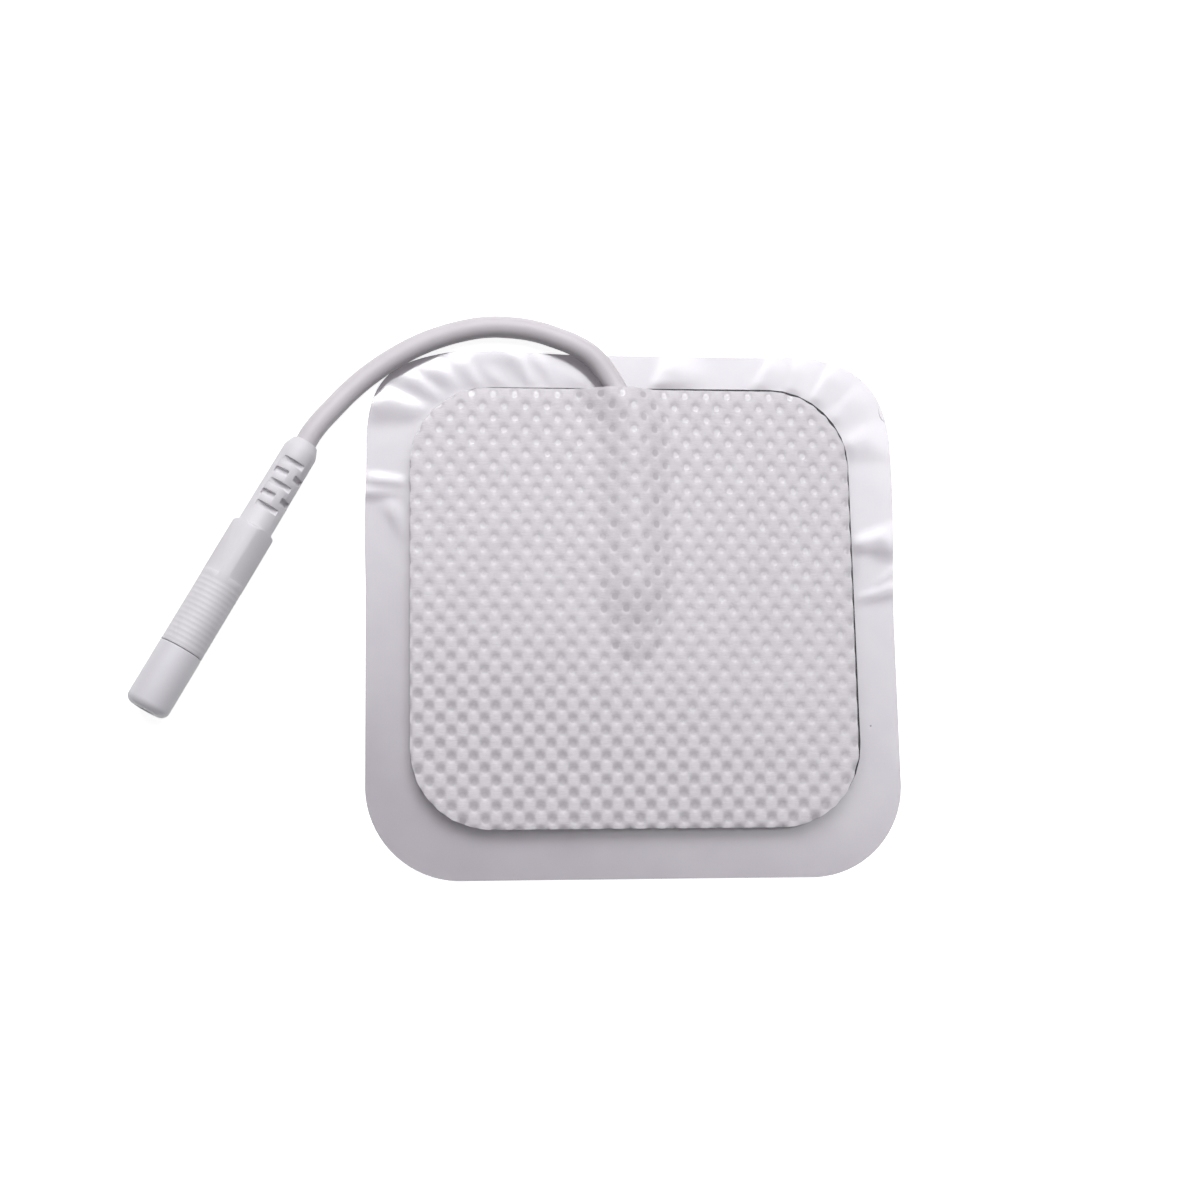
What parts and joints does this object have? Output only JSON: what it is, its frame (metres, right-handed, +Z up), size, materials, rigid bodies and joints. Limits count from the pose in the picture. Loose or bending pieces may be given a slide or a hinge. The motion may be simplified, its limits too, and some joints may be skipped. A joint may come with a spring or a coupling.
{
  "type": "tens electrode pad",
  "caption": "Square self-adhesive stimulation pad on a clear release liner, with an embossed non-woven back and a short white lead that ends in a moulded socket connector.",
  "frame": {"origin": "centre of the release liner's underside, where the pad rests", "axes": "+Z up out of the backing, +Y towards the edge of the pad where the lead comes out, +X to the right as seen from above"},
  "size_m": [0.0855, 0.0641, 0.005],
  "materials": {
    "liner_film": "glossy clear film",
    "gel": "wet translucent gel",
    "carbon_black": "matt black conductive film",
    "nonwoven": "embossed white non-woven",
    "lead_insulation": "satin white soft vinyl",
    "connector_moulding": "satin white soft moulding",
    "connector_sleeve": "satin white rigid moulding",
    "contact_brass": "drawn",
    "conductor": "tinned copper strands"
  },
  "bodies": {
    "root": {"release_liner": "liner_film", "hydrogel": "gel", "carbon_film": "carbon_black", "backing_fabric": "nonwoven", "lead_cord": "lead_insulation", "strand_fan": "conductor", "connector_body": "connector_moulding", "nose_sleeve": "connector_sleeve", "socket_contact": "contact_brass", "conductor_tail": "conductor"}
  },
  "joints": []
}
